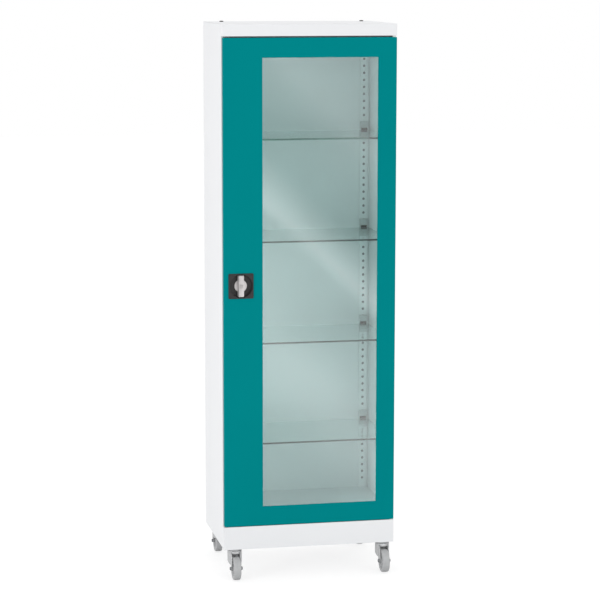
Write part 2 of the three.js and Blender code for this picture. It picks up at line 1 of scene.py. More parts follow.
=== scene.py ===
import json
import math

import bmesh
import bpy
from mathutils import Euler, Matrix, Vector


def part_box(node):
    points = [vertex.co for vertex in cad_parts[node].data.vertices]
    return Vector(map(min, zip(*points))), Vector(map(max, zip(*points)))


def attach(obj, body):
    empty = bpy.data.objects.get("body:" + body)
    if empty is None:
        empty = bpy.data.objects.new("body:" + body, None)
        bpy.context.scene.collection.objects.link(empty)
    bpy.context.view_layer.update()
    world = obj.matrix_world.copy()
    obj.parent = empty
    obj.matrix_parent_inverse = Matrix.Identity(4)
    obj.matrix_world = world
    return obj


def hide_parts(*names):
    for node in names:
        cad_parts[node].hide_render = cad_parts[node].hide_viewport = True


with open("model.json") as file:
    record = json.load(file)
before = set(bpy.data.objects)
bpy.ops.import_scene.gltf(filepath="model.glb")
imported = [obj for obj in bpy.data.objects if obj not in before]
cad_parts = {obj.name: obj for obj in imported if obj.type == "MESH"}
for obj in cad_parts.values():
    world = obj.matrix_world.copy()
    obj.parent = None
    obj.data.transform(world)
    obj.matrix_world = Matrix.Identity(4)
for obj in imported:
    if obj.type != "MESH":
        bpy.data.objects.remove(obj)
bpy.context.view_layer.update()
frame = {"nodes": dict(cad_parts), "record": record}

# Looks of the glass door medical cabinet. Metres, +Z up, +X to the right, the door faces -Y.

SIDES = (("left", -1), ("right", 1))
ENDS = ("front", "rear")
CORNERS = [f"{end}_{side}" for end in ENDS for side, _ in SIDES]
SHELVES = range(1, 5)

# Camera, fitted to the straight edges of the photograph
CAMERA_PLACE = (-1.5230, -7.4817, 2.0963)
CAMERA_DOWN = math.radians(8.594)
CAMERA_RIGHT = math.radians(11.553)
CAMERA_ROLL = math.radians(0.06)
CAMERA_LENS = 132.16
CAMERA_SENSOR = 36.0

# Sheet metal, edges and fits. A face narrower than BEND_FACE is the cut edge of a sheet.
SHEET = 0.0012
BEND = 0.0016
BEND_FACE = 0.004
EDGE = 0.0003
FIT = 0.0003
GLASS_ARRIS = 0.0007
WELD = 1e-5
SKIN_WELD = 1e-6
TOUCH = 1e-4
STRAIGHT = 0.99
FLAT = math.radians(0.5)
SHARP = math.radians(25)
SMOOTH = math.radians(38)

# Door
DOOR_CORNER = 0.005
DOOR_FOLD = 0.0022

# Uprights
HOLE_RADIUS = 0.0046
HOLE_PITCH = 0.025
HOLE_FIRST = 0.035
HOLE_END = 0.012
UPRIGHT_SHEET = 0.0015
UPRIGHT_BEND = 0.0015
UPRIGHT_SPLITS = 4
UPRIGHT_EDGE_ANGLE = math.radians(50)
# a dark block inside each upright is painted shade, seen through its holes
SHADE_BLOCK_GAP = 0.0017
SHADE_BLOCK_END = 0.004

# Shelf clips
CLIP_DEPTH = 0.006
WINDOW_BLOCK_HALF = (0.0113, 0.0048)
WINDOW_BLOCK_SUNK = 0.0004

# Lock
CUP_RIM = 0.002
CUP_WALL = 0.0015
CUP_FLOOR = 0.002
DISH_FOOT = 0.0025
DISH_LIP = 0.0009
PLATE_BACK = 0.0027
PLATE_CORNER = 0.004
PLATE_ARRIS = 0.0012
PLATE_STEPS = (14, 6)
SPINDLE_HOLE = 0.0053
SPINDLE_EDGE = 0.0006
HUB_RADIUS = 0.0215
HUB_THICKNESS = 0.003
HUB_BACK_EDGE = 0.0004
HUB_FRONT_EDGE = 0.001
WING_HALF_WIDTH = 0.01125
WING_HALF_LENGTH = 0.0375
WING_CORNER = 0.003
WING_STEPS = (8, 6)
# depth behind the wing's crest, and how far its sides draw in there
WING_PROFILE = ((0.004, 0.0016), (0.0012, 0.002), (0.0004, 0.0024), (0, 0.0033))
PLUG_HOLE = 0.0063
PLUG_HOLE_DEPTH = 0.0085
PLUG_HOLE_ARRIS = 0.0004
PLUG_ARRIS = 0.0005
KEY_SLOT = (0.0008, 0.0035, 0.004)
KEY_SLOT_ROUND = 0.9
KEY_SLOT_STEPS = (4, 4)

# Top caps
CAP_STEM_SHARE = 4 / 7
CAP_STEM_EDGE = 0.001
CAP_CROWN = 0.0022

# Caster axles
AXLE_RADIUS = 0.004
AXLE_HEAD = 0.006
NUT_ARRIS = (0.0008, 0.0009)
WASHER = 0.0012
WASHER_GAP = 0.0002
WASHER_RIM = 0.0012

# Caster wheels
WHEEL_HUB = 0.012
WHEEL_WEB = 0.028
WHEEL_BEAD = 0.029
WHEEL_DISH = 0.004
# radius, depth behind the hub's end and turn, from the bore out to the bead
WHEEL_FLANK = ((AXLE_RADIUS + FIT, 0, 0), (WHEEL_HUB, 0, 0.0012), (WHEEL_HUB + 0.001, WHEEL_DISH, 0.0012),
               (WHEEL_WEB - 0.003, WHEEL_DISH, 0.0012), (WHEEL_WEB - 0.002, 0.0004, 0.0006),
               (WHEEL_BEAD - 0.0002, 0.0004, 0.0004))
BEAD_INSET = 0.0008
BEAD_TURN = 0.0005
TYRE_DROP = 0.0006
TYRE_SHOULDER = 0.0045
TYRE_CROWN = 0.005
RIBS = 8
RIB_HALF = 0.0011
RIB_INSET = 0.0007
RIB_FROM = 0.011
RIB_TO = 0.0265
RIB_EDGE = 0.0004

# Caster forks
FORK_SHEET = 0.0025
CROWN_RADIUS = 0.025
CROWN_HEIGHT = 0.010
CROWN_EDGE = 0.0005
CROWN_FOOT = 0.0006
CROWN_TURN = 0.0025
LEG_INNER = 0.0145
LEG_HALF = 0.018
LEG_REACH = 0.013
LEG_TOP = 0.002
LEG_KNEE = 0.0224
LEG_SUNK = 0.001
LEG_BACK_TURN = 0.004
LEG_HEEL_TURN = 0.001
LEG_TURN = 0.007
KNEE_TURN = 0.006
KNEE_INSET = 0.001
# depth into a leg's sheet, and the size of its outline there, so that its edges are broken
LEG_LAYERS = ((0, 0.985), (0.0005, 1), (FORK_SHEET - 0.0006, 1), (FORK_SHEET, 0.975))
EYE_RADIUS = 0.010
EYE_SWEEP = math.radians(216)
SKIRT_DROP = 0.027
SKIRT_REACH = math.radians(52)
SKIRT_EDGES = (0.0008, 0.0012)

# Caster heads
NECK_RADIUS = 0.009
NECK_HOLE = 0.0093
RIVET_FOOT = 0.012
HEAD_TURN = 0.0012
HEAD_TOP_TURN = 0.0004
HEAD_GROOVE = 0.0015
GROOVE_TURN = 0.0006

# Small fasteners
RIVET_RADIUS = 0.0032
RIVET_HEIGHT = 0.0012
RIVETS = 7
RIVET_INSET = 0.0075
SCREW_RADIUS = 0.0028
SCREW_HEIGHT = 0.0016
SCREW_PITCH = 0.19
SCREW_INSET = 0.0085
# shares of a domed head's radius and height
DOME = ((1, 0), (1, 0.3), (0.8, 0.75), (0.4, 1))

ROUND = 64
SMALL_ROUND = 32


# Shapes in mesh code

def clean_copy(node):
    """A node's shape with its shared corners merged and its flat faces joined."""
    shape = bmesh.new()
    shape.from_mesh(frame["nodes"][node].data)
    bmesh.ops.remove_doubles(shape, verts=shape.verts, dist=WELD)
    bmesh.ops.dissolve_limit(shape, angle_limit=FLAT, verts=shape.verts, edges=shape.edges)
    return shape


def sharp_edges(shape):
    """The edges where two faces meet at a clear angle."""
    return [e for e in shape.edges if len(e.link_faces) == 2 and e.calc_face_angle() > SHARP]


def soften(shape, edges, radius, steps=2):
    """Rounds these edges over."""
    bmesh.ops.bevel(shape, geom=edges, offset=radius, offset_type="OFFSET", segments=steps, profile=0.5,
                    affect="EDGES", clamp_overlap=True)


def reach_from(face, edge):
    """How far a face reaches across from one of its edges."""
    start, end = (v.co for v in edge.verts)
    across = face.normal.cross((end - start).normalized())
    reach = [(v.co - start).dot(across) for v in face.verts]
    return max(reach) - min(reach)


def between_broad_faces(edge):
    """Whether an edge is a bend of the sheet, and not one of its cut edges."""
    return min(reach_from(face, edge) for face in edge.link_faces) > BEND_FACE


def fold_sheet(shape):
    """Rounds the outer bends of a folded sheet by the bend radius, and then breaks its other edges."""
    bends = [e for e in sharp_edges(shape) if between_broad_faces(e) and e.is_convex]
    soften(shape, bends, BEND, steps=3)
    soften(shape, sharp_edges(shape), EDGE)


def loft(rings, closed=False):
    """A skin over rings with equal numbers of points, with flat ends unless it closes on itself."""
    shape = bmesh.new()
    rows = [[shape.verts.new(point) for point in ring] for ring in rings]
    following = rows[1:] + rows[:1] if closed else rows[1:]
    for row, other in zip(rows, following):
        for i, corner in enumerate(row):
            j = (i + 1) % len(row)
            shape.faces.new((corner, row[j], other[j], other[i]))
    if not closed:
        shape.faces.new(rows[0])
        shape.faces.new(rows[-1])
    bmesh.ops.recalc_face_normals(shape, faces=shape.faces)
    return shape


def arc_corner(before, corner, after, radius, steps):
    """Points of a smooth turn from one straight line into the next."""
    before, corner, after = Vector(before), Vector(corner), Vector(after)
    start = corner + (before - corner).normalized() * radius
    end = corner + (after - corner).normalized() * radius
    shares = [i / steps for i in range(steps + 1)]
    return [start * (1 - t) ** 2 + corner * 2 * t * (1 - t) + end * t ** 2 for t in shares]


def rounded(corners, steps=4, closed=True):
    """A line through (x, y, radius) corners, with a turn of that radius at each."""
    points = []
    count = len(corners)
    for i, (x, y, radius) in enumerate(corners):
        at_end = not closed and i in (0, count - 1)
        if radius == 0 or at_end:
            points.append(Vector((x, y)))
        else:
            before = corners[i - 1][:2]
            after = corners[(i + 1) % count][:2]
            points += arc_corner(before, (x, y), after, radius, steps)
    return points


def turned(profile, centre, axis, sides=ROUND, closed=False):
    """A solid of revolution. The profile is (radius, height) pairs along the axis, 'x', 'y' or 'z'."""
    order = {"x": (2, 0, 1), "y": (1, 2, 0), "z": (0, 1, 2)}[axis]
    rings = []
    for radius, height in profile:
        ring = []
        for i in range(sides):
            angle = 2 * math.pi * (i + 0.5) / sides
            spot = (radius * math.cos(angle), radius * math.sin(angle), height)
            ring.append(Vector(centre) + Vector([spot[k] for k in order]))
        rings.append(ring)
    return loft(rings, closed)


def outline(half_x, half_z, radius, side_steps, corner_steps):
    """Points round a rectangle with rounded corners."""
    points = []
    for sign_x, sign_z, start in ((1, -1, -90), (1, 1, 0), (-1, 1, 90), (-1, -1, 180)):
        centre = Vector((sign_x * (half_x - radius), sign_z * (half_z - radius)))
        for i in range(corner_steps + 1):
            angle = math.radians(start + 90 * i / corner_steps)
            points.append(centre + radius * Vector((math.cos(angle), math.sin(angle))))
    full = []
    for i, point in enumerate(points):
        full.append(point)
        if i % (corner_steps + 1) == corner_steps:
            after = points[(i + 1) % len(points)]
            full += [point.lerp(after, k / side_steps) for k in range(1, side_steps)]
    return full


def circle_like(points, radius):
    """A circle whose points lie in the same directions as these."""
    return [point.normalized() * radius for point in points]


def merge(shapes):
    """Several shapes as one."""
    whole = bmesh.new()
    for shape in shapes:
        mesh = bpy.data.meshes.new("part")
        shape.to_mesh(mesh)
        shape.free()
        whole.from_mesh(mesh)
        bpy.data.meshes.remove(mesh)
    return whole


def rounded_block(low, high, radius):
    """A box with its edges rounded over."""
    xs, ys, zs = zip(low, high)
    corners = ((xs[0], ys[0]), (xs[1], ys[0]), (xs[1], ys[1]), (xs[0], ys[1]))
    shape = loft([[(x, y, z) for x, y in corners] for z in zs])
    soften(shape, shape.edges[:], radius)
    return shape


# Pieces

def add_object(name, data):
    """A new object in the scene."""
    item = bpy.data.objects.new(name, data)
    bpy.context.scene.collection.objects.link(item)
    return item


def piece(name, shape, slot, body, *nodes):
    """A shape as a named piece that moves with a body, and stands for these nodes."""
    mesh = bpy.data.meshes.new(name)
    shape.to_mesh(mesh)
    shape.free()
    if "custom_normal" in mesh.attributes:
        mesh.attributes.remove(mesh.attributes["custom_normal"])
    mesh.shade_smooth()
    mesh.set_sharp_from_angle(angle=SMOOTH)
    mesh.materials.append(finishes[slot])
    item = add_object(name, mesh)
    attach(item, body)
    if nodes:
        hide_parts(*nodes)
    return item


def even_normals(item):
    """Keeps broad faces flat to the eye beside narrow rounded edges."""
    modifier = item.modifiers.new("even normals", "WEIGHTED_NORMAL")
    modifier.keep_sharp = True


# Materials

NOISE_SPAN = (0.3, 0.7)
SHEEN_COARSER = 12
BUMP_STRENGTH = 0.35
RIPPLE_SCALE = 3.0
RIPPLE_SPAN = (0.35, 0.65)
RIPPLE_TONE = 1.01
GLASS_IOR = 1.5

# Painted shade in the slits round the door: how far the shade looks, how open a slit is where the shade is
# full and where it ends, how dark it gets, and how far behind the door it fades out
SLIT_REACH = 0.024
SLIT_OPEN = (0.05, 0.4)
SLIT_SHADE = 0.04
SLIT_BACK = (0.01, 0.03)
SLIT_SAMPLES = 8


def linear(red, green, blue):
    """A screen colour from 0 to 255 as the linear colour that shaders use."""
    shares = [value / 255 for value in (red, green, blue)]
    return [s / 12.92 if s <= 0.04045 else ((s + 0.055) / 1.055) ** 2.4 for s in shares]


def add_node(tree, kind, values):
    """A shader node with inputs set by name, to a value or from another node's output."""
    node = tree.nodes.new("ShaderNode" + kind)
    for name, value in values.items():
        if isinstance(value, bpy.types.NodeSocket):
            tree.links.new(value, node.inputs[name])
        else:
            node.inputs[name].default_value = value
    return node


def new_material(name):
    """A material with its node tree and its shader."""
    material = bpy.data.materials.new(name)
    material.use_nodes = True
    return material, material.node_tree, material.node_tree.nodes["Principled BSDF"]


def colour_ramp(tree, source, stops):
    """A ramp from (place, colour) stops."""
    node = add_node(tree, "ValToRGB", {"Fac": source})
    elements = node.color_ramp.elements
    while len(elements) < len(stops):
        elements.new(0.5)
    for element, (place, colour) in zip(elements, stops):
        element.position = place
        element.color = (*colour, 1)
    return node.outputs["Color"]


def noise(tree, place, scale, detail):
    """Cloudy values round a half."""
    return add_node(tree, "TexNoise", {"Vector": place, "Scale": scale, "Detail": detail}).outputs["Fac"]


def remapped(tree, value, source, target=(0, 1)):
    """A value moved from one span to another, and held within it."""
    values = {"Value": value, "From Min": source[0], "From Max": source[1],
              "To Min": target[0], "To Max": target[1]}
    return add_node(tree, "MapRange", values).outputs["Result"]


def paint_slit_shade(tree, place, colour):
    """This colour, darkened by painted shade deep inside the narrow slits round the door."""
    around = add_node(tree, "AmbientOcclusion", {"Distance": SLIT_REACH})
    around.samples = SLIT_SAMPLES
    door_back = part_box("door_leaf")[1].y
    depth = add_node(tree, "SeparateXYZ", {"Vector": place}).outputs["Y"]
    behind = remapped(tree, depth, [door_back + back for back in SLIT_BACK])
    free = add_node(tree, "Math", {0: around.outputs["AO"], 1: behind})
    free.operation = "MAXIMUM"
    level = remapped(tree, free.outputs["Value"], SLIT_OPEN, (SLIT_SHADE, 1))
    return add_node(tree, "HueSaturation", {"Value": level, "Color": colour}).outputs["Color"]


def surface(name, colour, tone, tone_scale, roughness, grain, depth, stretch=(1, 1, 1), painted_slit_shade=False,
            **shader_values):
    """An opaque finish: mottled colour, uneven gloss, a fine grain that stretch draws out, and painted shade
    in the slits round the door where asked for.
    """
    material, tree, shader = new_material(name)
    place = add_node(tree, "TexCoord", {}).outputs["Object"]
    drawn = add_node(tree, "Mapping", {"Vector": place, "Scale": stretch}).outputs["Vector"]
    mottle = noise(tree, place, tone_scale, detail=5.0)
    dark = [channel * (1 - tone) for channel in colour]
    light = [min(channel * (1 + tone), 1) for channel in colour]
    tint = colour_ramp(tree, mottle, list(zip(NOISE_SPAN, (dark, light))))
    # painted shade: the colour made darker deep inside the slits round the door
    if painted_slit_shade:
        tint = paint_slit_shade(tree, place, tint)
    sheen = noise(tree, drawn, grain / SHEEN_COARSER, detail=4.0)
    gloss = remapped(tree, sheen, NOISE_SPAN, roughness)
    peel = noise(tree, drawn, grain, detail=2.0)
    bump = add_node(tree, "Bump", {"Height": peel, "Strength": BUMP_STRENGTH, "Distance": depth})
    tree.links.new(tint, shader.inputs["Base Color"])
    tree.links.new(gloss, shader.inputs["Roughness"])
    tree.links.new(bump.outputs["Normal"], shader.inputs["Normal"])
    for socket, value in shader_values.items():
        shader.inputs[socket.replace("_", " ")].default_value = value
    return material


def glass(name, tint, shade, absorb=(1, 1, 1), density=0):
    """Clear glass with a tint. Light from the lamps passes straight through it, weakened to shade."""
    material, tree, shader = new_material(name)
    place = add_node(tree, "TexCoord", {}).outputs["Object"]
    ripple = noise(tree, place, RIPPLE_SCALE, detail=2.0)
    pale = [min(channel * RIPPLE_TONE, 1) for channel in tint]
    hue = colour_ramp(tree, ripple, list(zip(RIPPLE_SPAN, (tint, pale))))
    tree.links.new(hue, shader.inputs["Base Color"])
    shader.inputs["Roughness"].default_value = 0.0
    shader.inputs["IOR"].default_value = GLASS_IOR
    shader.inputs["Transmission Weight"].default_value = 1.0
    path = add_node(tree, "LightPath", {}).outputs["Is Shadow Ray"]
    clear = add_node(tree, "BsdfTransparent", {"Color": (*shade, 1)}).outputs["BSDF"]
    mix = add_node(tree, "MixShader", {"Fac": path})
    tree.links.new(shader.outputs["BSDF"], mix.inputs[1])
    tree.links.new(clear, mix.inputs[2])
    output = tree.nodes["Material Output"]
    tree.links.new(mix.outputs["Shader"], output.inputs["Surface"])
    if density:
        volume = add_node(tree, "VolumeAbsorption", {"Color": (*absorb, 1), "Density": density})
        tree.links.new(volume.outputs["Volume"], output.inputs["Volume"])
    return material


finishes = {
    # the white paint carries painted shade deep inside the slits round the door
    "white_paint": surface("white_paint", linear(238, 239, 241), tone=0.008, tone_scale=3.0,
                           roughness=(0.38, 0.5), grain=1100.0, depth=0.00003, painted_slit_shade=True,
                           Specular_IOR_Level=0.35),
    "teal_paint": surface("teal_paint", linear(0, 134, 138), tone=0.015, tone_scale=3.0,
                          roughness=(0.4, 0.5), grain=1100.0, depth=0.00003,
                          Specular_IOR_Level=0.005),
    "zinc": surface("zinc", linear(192, 196, 197), tone=0.08, tone_scale=140.0,
                    roughness=(0.34, 0.5), grain=1500.0, depth=0.00003, Metallic=0.6),
    "pressed_steel": surface("pressed_steel", linear(189, 190, 191), tone=0.05, tone_scale=90.0,
                             roughness=(0.34, 0.48), grain=1600.0, depth=0.00003, Metallic=0.45),
    "dark_steel": surface("dark_steel", linear(132, 134, 137), tone=0.08, tone_scale=200.0,
                          roughness=(0.4, 0.55), grain=1800.0, depth=0.00002, Metallic=0.35),
    "grey_tyre": surface("grey_tyre", linear(184, 185, 186), tone=0.04, tone_scale=60.0,
                         roughness=(0.55, 0.72), grain=1400.0, depth=0.00006,
                         Specular_IOR_Level=0.3),
    "black_plastic": surface("black_plastic", linear(38, 35, 36), tone=0.08, tone_scale=120.0,
                             roughness=(0.42, 0.58), grain=2600.0, depth=0.00006,
                             Specular_IOR_Level=0.3),
    "satin_metal": surface("satin_metal", linear(179, 175, 175), tone=0.04, tone_scale=80.0,
                           roughness=(0.38, 0.5), grain=1400.0, depth=0.00003,
                           stretch=(1, 1, 0.08), Metallic=0.5),
    "white_nylon": surface("white_nylon", linear(238, 238, 235), tone=0.015, tone_scale=60.0,
                           roughness=(0.4, 0.55), grain=1500.0, depth=0.00003),
    "door_glass": glass("door_glass", tint=(0.84, 0.985, 0.965), shade=(0.88, 0.98, 0.965)),
    "shelf_glass": glass("shelf_glass", tint=(0.93, 0.995, 0.99), shade=(0.93, 0.985, 0.975),
                         absorb=(0.2, 0.64, 0.54), density=7.0),
}

for subpart in frame["record"]["subparts"]:
    slots = frame["nodes"][subpart["node"]].material_slots
    slots[0].material = finishes[subpart["material_slot"]]


# Sheet metal body

def sheet_piece(node, slot, body):
    """A folded sheet with its bends rounded."""
    shape = clean_copy(node)
    fold_sheet(shape)
    even_normals(piece(f"{node}_finish", shape, slot, body, node))


for node in ("left_side_panel", "right_side_panel", "back_panel", "top_panel", "floor_panel", "base_pan"):
    sheet_piece(node, "white_paint", "cabinet")
sheet_piece("glazing_frame", "white_paint", "door")


def door_leaf():
    """The door with its corners rounded, its front edges folded over and its cut edges broken."""
    low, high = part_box("door_leaf")
    shape = clean_copy("door_leaf")
    middle = (low + high) / 2

    def at_corner(edge, inset):
        through = abs((edge.verts[1].co - edge.verts[0].co).normalized().y) > STRAIGHT
        half = (high - low) / 2 - Vector((inset, 0, inset))
        return through and all(abs(abs(v.co.x - middle.x) - half.x) < TOUCH
                               and abs(abs(v.co.z - middle.z) - half.z) < TOUCH for v in edge.verts)

    def at_front(edge):
        return all(abs(v.co.y - low.y) < TOUCH for v in edge.verts)

    soften(shape, [e for e in shape.edges if at_corner(e, 0)], DOOR_CORNER, steps=5)
    soften(shape, [e for e in shape.edges if at_corner(e, SHEET)], DOOR_CORNER - SHEET, steps=5)
    front = [e for e in sharp_edges(shape) if at_front(e) and between_broad_faces(e)]
    soften(shape, front, DOOR_FOLD, steps=3)
    soften(shape, sharp_edges(shape), EDGE)
    even_normals(piece("door_leaf_finish", shape, "teal_paint", "door", "door_leaf"))


door_leaf()


# Uprights, clips and shelves

def upright_face(node):
    """The middle of an upright in X, the Y of its holed face, and the way that it goes back from there."""
    low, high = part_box(node)
    turn = 1 if low.y > 0 else -1
    face_y = low.y if turn > 0 else high.y
    return (low.x + high.x) / 2, face_y, turn


def upright_skin(node):
    """The folded strip of an upright without its thickness, with a round hole at each step of the pitch."""
    low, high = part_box(node)
    centre_x, face_y, turn = upright_face(node)
    half = (high.x - low.x) / 2
    depth = high.y - low.y
    length = high.z - low.z
    inner = half - UPRIGHT_BEND
    half_pitch = HOLE_PITCH / 2
    splits = [2 * k / UPRIGHT_SPLITS - 1 for k in range(UPRIGHT_SPLITS + 1)]
    bend = arc_corner((half, depth), (half, 0), (0, 0), UPRIGHT_BEND, steps=3)
    leg = [(half, depth)] + [tuple(p) for p in bend]
    legs = [[(-u, d) for u, d in leg], leg[::-1]]
    shape = bmesh.new()

    def quad(*points):
        spots = [(centre_x + turn * u, face_y + turn * d, low.z + z) for u, d, z in points]
        shape.faces.new([shape.verts.new(spot) for spot in spots])

    def band(bottom, top):
        for line in legs:
            for (u0, d0), (u1, d1) in zip(line, line[1:]):
                quad((u0, d0, bottom), (u1, d1, bottom), (u1, d1, top), (u0, d0, top))

    def plain(bottom, top):
        band(bottom, top)
        columns = [inner * s for s in splits]
        for u0, u1 in zip(columns, columns[1:]):
            quad((u0, 0, bottom), (u1, 0, bottom), (u1, 0, top), (u0, 0, top))

    def holed(level):
        rim = [(inner * s, -half_pitch) for s in splits[:-1]]
        rim += [(inner, half_pitch * s) for s in splits[:-1]]
        rim += [(-inner * s, half_pitch) for s in splits[:-1]]
        rim += [(-inner, -half_pitch * s) for s in splits[:-1]]
        # the rim starts at its lower left corner, which lies at 225 degrees
        angles = [math.radians(225 + 360 * k / len(rim)) for k in range(len(rim))]
        hole = [(HOLE_RADIUS * math.cos(a), HOLE_RADIUS * math.sin(a)) for a in angles]
        for i, (u0, z0) in enumerate(rim):
            j = (i + 1) % len(rim)
            corners = ((u0, z0), rim[j], hole[j], hole[i])
            quad(*[(u, 0, level + z) for u, z in corners])
        levels = [level + half_pitch * s for s in splits]
        for bottom, top in zip(levels, levels[1:]):
            band(bottom, top)

    count = int((length - HOLE_FIRST - HOLE_END) / HOLE_PITCH) + 1
    plain(0, HOLE_FIRST - half_pitch)
    for i in range(count):
        holed(HOLE_FIRST + i * HOLE_PITCH)
    plain(HOLE_FIRST + (count - 0.5) * HOLE_PITCH, length)
    bmesh.ops.remove_doubles(shape, verts=shape.verts, dist=SKIN_WELD)
    return shape


def upright_shade_block(node):
    """A dark block inside an upright, painted shade seen through its holes."""
    low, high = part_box(node)
    centre_x, face_y, turn = upright_face(node)
    half = (high.x - low.x) / 2 - UPRIGHT_BEND
    near = face_y + turn * (UPRIGHT_SHEET + SHADE_BLOCK_GAP)
    far = face_y + turn * (high.y - low.y)
    # painted shade: a dark block where the inside of the upright is in shade
    shade_block = rounded_block((centre_x - half, min(near, far), low.z + SHADE_BLOCK_END),
                          (centre_x + half, max(near, far), high.z - SHADE_BLOCK_END), EDGE)
    piece(f"{node}_liner", shade_block, "dark_steel", "cabinet")


def perforated_upright(node):
    """A folded strip with round holes, made thick from its skin."""
    item = piece(f"{node}_finish", upright_skin(node), "white_paint", "cabinet", node)
    thick = item.modifiers.new("thickness", "SOLIDIFY")
    thick.thickness = UPRIGHT_SHEET
    thick.offset = -1
    edges = item.modifiers.new("edges", "BEVEL")
    edges.width = EDGE
    edges.limit_method = "ANGLE"
    edges.angle_limit = UPRIGHT_EDGE_ANGLE
    even_normals(item)


def broken_edges(node, slot, body, radius=EDGE):
    """A node as it is, with its edges broken."""
    shape = clean_copy(node)
    soften(shape, sharp_edges(shape), radius)
    even_normals(piece(f"{node}_finish", shape, slot, body, node))


def clip_window_blocks(corner):
    """Dark blocks seen in the windows of the clips on one upright, which make those windows dark."""
    centre_x, face_y, turn = upright_face(f"upright_{corner}")
    near = face_y - turn * FIT
    far = near - turn * (CLIP_DEPTH - WINDOW_BLOCK_SUNK)
    half_x, half_z = WINDOW_BLOCK_HALF
    window_blocks = []
    for shelf in SHELVES:
        clip_low, clip_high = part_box(f"shelf_{shelf}_clip_{corner}")
        level = (clip_low.z + clip_high.z) / 2
        window_blocks.append(rounded_block((centre_x - half_x, min(near, far), level - half_z),
                                  (centre_x + half_x, max(near, far), level + half_z), EDGE))
    piece(f"clip_window_blocks_{corner}", merge(window_blocks), "black_plastic", "cabinet")


for corner in CORNERS:
    perforated_upright(f"upright_{corner}")
    upright_shade_block(f"upright_{corner}")
    clip_window_blocks(corner)
    for shelf in SHELVES:
        broken_edges(f"shelf_{shelf}_clip_{corner}", "zinc", "cabinet")
for shelf in SHELVES:
    broken_edges(f"glass_shelf_{shelf}", "shelf_glass", "cabinet", GLASS_ARRIS)


# Lock

def lock_ring(points, y):
    """Flat points set round the lock's axis at this depth."""
    low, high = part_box("lock_cup")
    centre = (low + high) / 2
    return [(centre.x + p.x, y, centre.z + p.y) for p in points]


def lock_cup():
    """A square plate round a dish, with a hole for the spindle in the dish's floor."""
    low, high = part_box("lock_cup")
    half = (high.x - low.x) / 2
    face = half - PLATE_ARRIS
    cup = half - CUP_RIM
    dish = cup - CUP_WALL
    floor_y = high.y - CUP_FLOOR
    plate_y = low.y + PLATE_BACK
    square = outline(half, half, PLATE_CORNER, *PLATE_STEPS)
    inset = outline(face, face, PLATE_CORNER - PLATE_ARRIS, *PLATE_STEPS)
    inner = rounded([(SPINDLE_HOLE, floor_y, 0), (dish, floor_y, DISH_FOOT), (dish, low.y, DISH_LIP),
                     (half, low.y, 0)], steps=5, closed=False)
    outer = ((cup, plate_y), (cup, high.y), (SPINDLE_HOLE, high.y))
    rings = [(circle_like(square, radius), y) for radius, y in inner[:-1]]
    rings += [(inset, low.y), (square, low.y + PLATE_ARRIS), (square, plate_y)]
    rings += [(circle_like(square, radius), y) for radius, y in outer]
    shape = loft([lock_ring(points, y) for points, y in rings], closed=True)
    piece("lock_cup_finish", shape, "black_plastic", "door", "lock_cup")


def lock_handle():
    """A round hub on a spindle, and a wing across it that tapers to its crest and is bored for the plug."""
    low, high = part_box("lock_handle")
    centre = (low + high) / 2
    cup_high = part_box("lock_cup")[1]
    hub_back = cup_high.y - CUP_FLOOR - FIT
    hub_front = hub_back - HUB_THICKNESS
    spindle = SPINDLE_HOLE - FIT
    profile = rounded([(0, high.y, 0), (spindle, high.y, SPINDLE_EDGE), (spindle, hub_back, 0),
                       (HUB_RADIUS, hub_back, HUB_BACK_EDGE), (HUB_RADIUS, hub_front, HUB_FRONT_EDGE),
                       (0, hub_front, 0)], closed=False)
    hub = turned(profile[1:-1], (centre.x, 0, centre.z), "y")
    levels = [(hub_front + HUB_THICKNESS / 2, 0), (hub_front, 0)]
    levels += [(low.y + behind, inset) for behind, inset in WING_PROFILE]
    rings = []
    for y, inset in levels:
        ring = outline(WING_HALF_WIDTH - inset, WING_HALF_LENGTH - inset / 2, WING_CORNER, *WING_STEPS)
        rings.append(lock_ring(ring, y))
    base = outline(WING_HALF_WIDTH, WING_HALF_LENGTH, WING_CORNER, *WING_STEPS)
    bore = ((PLUG_HOLE + PLUG_HOLE_ARRIS, 0), (PLUG_HOLE, PLUG_HOLE_ARRIS), (PLUG_HOLE, PLUG_HOLE_DEPTH))
    rings += [lock_ring(circle_like(base, radius), low.y + behind) for radius, behind in bore]
    piece("lock_handle_finish", merge([hub, loft(rings)]), "satin_metal", "handle", "lock_handle")


def lock_plug():
    """A round plug with a key slot sunk into its face."""
    low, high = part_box("lock_plug")
    radius = (high.x - low.x) / 2
    half_width, half_length, depth = KEY_SLOT
    slot = outline(half_width, half_length, half_width * KEY_SLOT_ROUND, *KEY_SLOT_STEPS)
    rings = [(circle_like(slot, radius), high.y), (circle_like(slot, radius), low.y + PLUG_ARRIS),
             (circle_like(slot, radius - PLUG_ARRIS), low.y), (slot, low.y), (slot, low.y + depth)]
    shape = loft([lock_ring(points, y) for points, y in rings])
    piece("lock_plug_finish", shape, "satin_metal", "key_plug", "lock_plug")


lock_cup()
lock_handle()
lock_plug()
broken_edges("lock_cam", "zinc", "handle")
for rod in ("upper", "lower"):
    broken_edges(f"{rod}_lock_rod", "zinc", f"{rod}_rod")


# Top caps and hinge pieces

